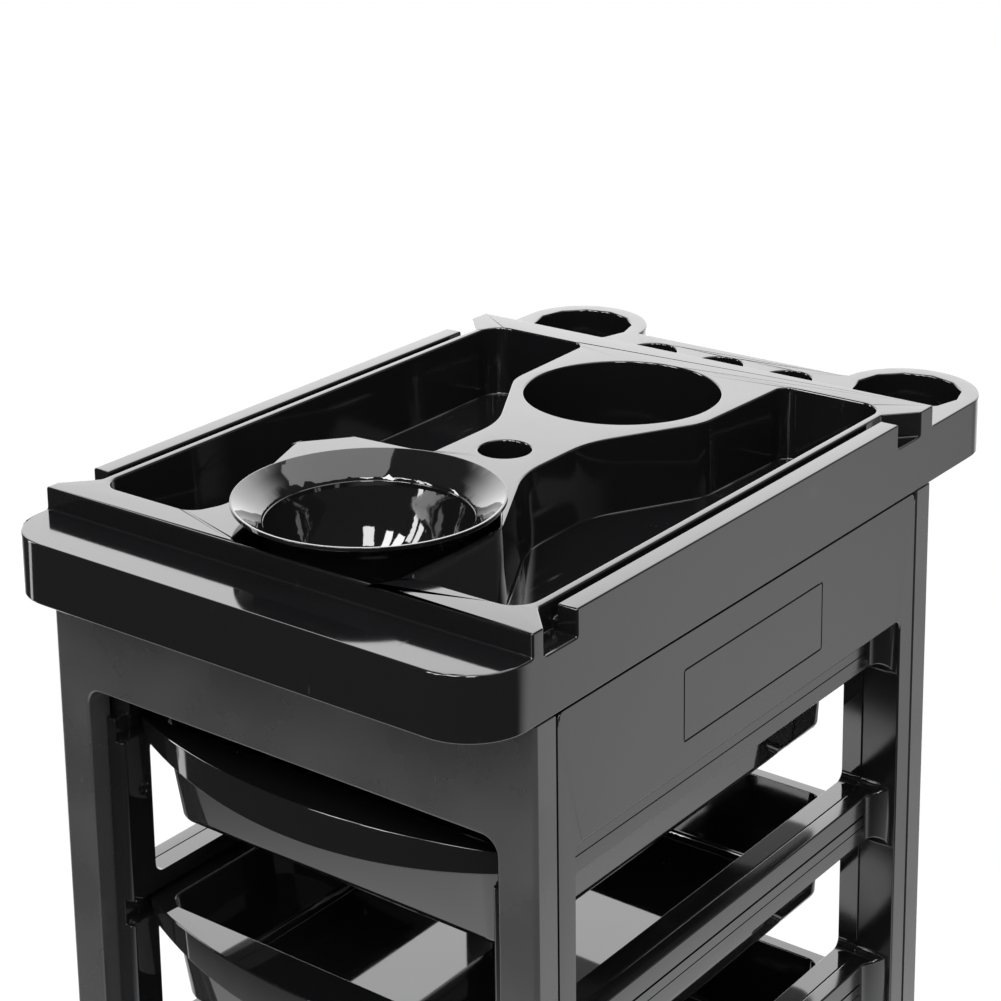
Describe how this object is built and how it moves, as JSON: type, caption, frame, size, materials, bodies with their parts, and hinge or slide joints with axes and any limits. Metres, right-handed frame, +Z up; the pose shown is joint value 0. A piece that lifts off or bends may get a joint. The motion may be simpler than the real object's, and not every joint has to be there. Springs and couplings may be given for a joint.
{
  "type": "spa trolley cart",
  "caption": "Glossy black salon trolley with a moulded tool tray, lift-out mixing bowl, pull-out drawers in ladder sides and twin-wheel swivel castors.",
  "frame": {"origin": "on the floor under the middle of the tray's outline", "axes": "+Z up, drawers open towards -Y, +X to the right seen from the drawers' side"},
  "size_m": [0.31, 0.502, 0.792],
  "materials": {
    "gloss_black": "glossy black ABS",
    "guide_black": "glossy black, slightly duller",
    "castor_black": "satin black nylon",
    "wheel_grey": "dark grey tread",
    "screw_black": "black-coated steel",
    "steel": "bright zinc plate"
  },
  "bodies": {
    "chassis": {"top_tray": "gloss_black", "front_frame": "gloss_black", "back_frame": "gloss_black", "left_side_panel": "gloss_black", "right_side_panel": "gloss_black", "left_drawer_guide": "guide_black", "right_drawer_guide": "guide_black", "base_tray": "gloss_black", "guide_screws": "screw_black", "tray_screws": "steel", "base_screws": "steel", "front_left_castor_socket": "steel", "front_right_castor_socket": "steel", "back_left_castor_socket": "steel", "back_right_castor_socket": "steel"},
    "bowl": {"dye_bowl": "gloss_black"},
    "drawer_1_body": {"drawer_1": "gloss_black"},
    "drawer_2_body": {"drawer_2": "gloss_black"},
    "drawer_3_body": {"drawer_3": "gloss_black"},
    "drawer_4_body": {"drawer_4": "gloss_black"},
    "drawer_5_body": {"drawer_5": "gloss_black"},
    "front_left_castor": {"front_left_castor_stem": "steel", "front_left_castor_hood": "castor_black"},
    "front_left_wheels": {"front_left_castor_axle": "steel", "front_left_castor_left_wheel": "wheel_grey", "front_left_castor_right_wheel": "wheel_grey"},
    "front_right_castor": {"front_right_castor_stem": "steel", "front_right_castor_hood": "castor_black"},
    "front_right_wheels": {"front_right_castor_axle": "steel", "front_right_castor_left_wheel": "wheel_grey", "front_right_castor_right_wheel": "wheel_grey"},
    "back_left_castor": {"back_left_castor_stem": "steel", "back_left_castor_hood": "castor_black"},
    "back_left_wheels": {"back_left_castor_axle": "steel", "back_left_castor_left_wheel": "wheel_grey", "back_left_castor_right_wheel": "wheel_grey"},
    "back_right_castor": {"back_right_castor_stem": "steel", "back_right_castor_hood": "castor_black"},
    "back_right_wheels": {"back_right_castor_axle": "steel", "back_right_castor_left_wheel": "wheel_grey", "back_right_castor_right_wheel": "wheel_grey"}
  },
  "joints": [
    {"name": "bowl_lift", "type": "slide", "parent": "chassis", "child": "bowl", "axis": [0, 0, 1], "range_m": [0, 0.12]},
    {"name": "drawer_1_slide", "type": "slide", "parent": "chassis", "child": "drawer_1_body", "axis": [0, -1, 0], "range_m": [0, 0.25]},
    {"name": "drawer_2_slide", "type": "slide", "parent": "chassis", "child": "drawer_2_body", "axis": [0, -1, 0], "range_m": [0, 0.25]},
    {"name": "drawer_3_slide", "type": "slide", "parent": "chassis", "child": "drawer_3_body", "axis": [0, -1, 0], "range_m": [0, 0.25]},
    {"name": "drawer_4_slide", "type": "slide", "parent": "chassis", "child": "drawer_4_body", "axis": [0, -1, 0], "range_m": [0, 0.25]},
    {"name": "drawer_5_slide", "type": "slide", "parent": "chassis", "child": "drawer_5_body", "axis": [0, -1, 0], "range_m": [0, 0.25]},
    {"name": "front_left_swivel", "type": "hinge", "parent": "chassis", "child": "front_left_castor", "pos_m": [-0.122, -0.174, 0.06], "axis": [0, 0, 1], "continuous": true},
    {"name": "front_left_roll", "type": "hinge", "parent": "front_left_castor", "child": "front_left_wheels", "pos_m": [-0.122, -0.155, 0.025], "axis": [1, 0, 0], "continuous": true},
    {"name": "front_right_swivel", "type": "hinge", "parent": "chassis", "child": "front_right_castor", "pos_m": [0.122, -0.174, 0.06], "axis": [0, 0, 1], "continuous": true},
    {"name": "front_right_roll", "type": "hinge", "parent": "front_right_castor", "child": "front_right_wheels", "pos_m": [0.122, -0.155, 0.025], "axis": [1, 0, 0], "continuous": true},
    {"name": "back_left_swivel", "type": "hinge", "parent": "chassis", "child": "back_left_castor", "pos_m": [-0.122, 0.122, 0.06], "axis": [0, 0, 1], "continuous": true},
    {"name": "back_left_roll", "type": "hinge", "parent": "back_left_castor", "child": "back_left_wheels", "pos_m": [-0.122, 0.141, 0.025], "axis": [1, 0, 0], "continuous": true},
    {"name": "back_right_swivel", "type": "hinge", "parent": "chassis", "child": "back_right_castor", "pos_m": [0.122, 0.122, 0.06], "axis": [0, 0, 1], "continuous": true},
    {"name": "back_right_roll", "type": "hinge", "parent": "back_right_castor", "child": "back_right_wheels", "pos_m": [0.122, 0.141, 0.025], "axis": [1, 0, 0], "continuous": true}
  ]
}
